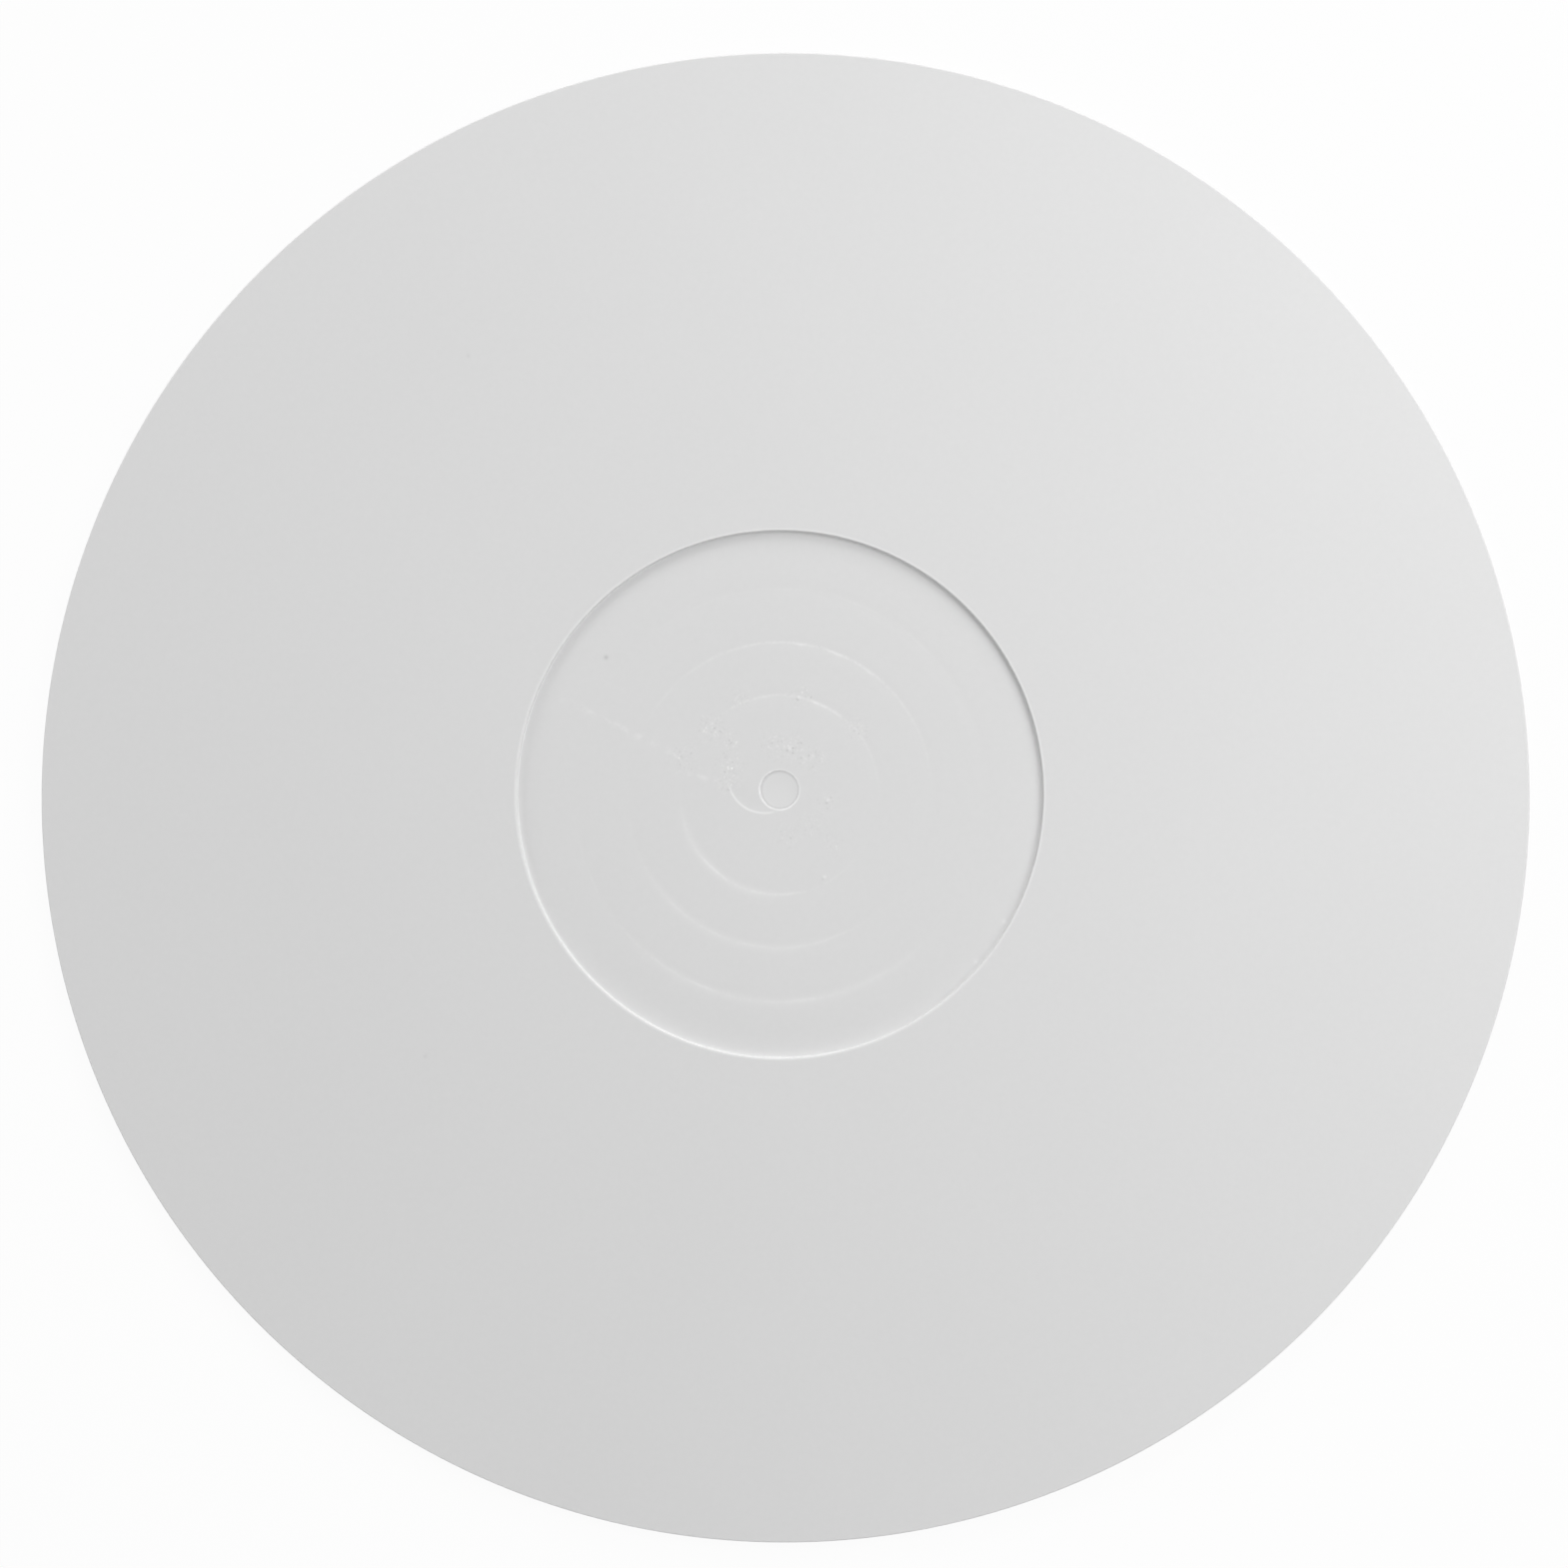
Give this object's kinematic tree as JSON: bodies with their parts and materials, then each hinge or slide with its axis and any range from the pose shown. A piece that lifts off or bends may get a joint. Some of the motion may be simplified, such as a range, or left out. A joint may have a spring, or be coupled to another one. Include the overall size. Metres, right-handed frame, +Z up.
{
  "type": "turntable mat",
  "caption": "Flat acrylic platter mat for a 12 inch record: a round disc with a shallow label recess in its playing face and a small hole for the spindle.",
  "frame": {"origin": "centre of the disc's outline on its underside", "axes": "+Z up out of the playing face, +Y from the centre towards the side to which the spindle hole is offset"},
  "size_m": [0.295, 0.295, 0.003],
  "materials": {
    "acrylic": "satin white cast acrylic with fine cutter marks in the recess"
  },
  "bodies": {
    "root": {"mat": "acrylic"}
  },
  "joints": []
}
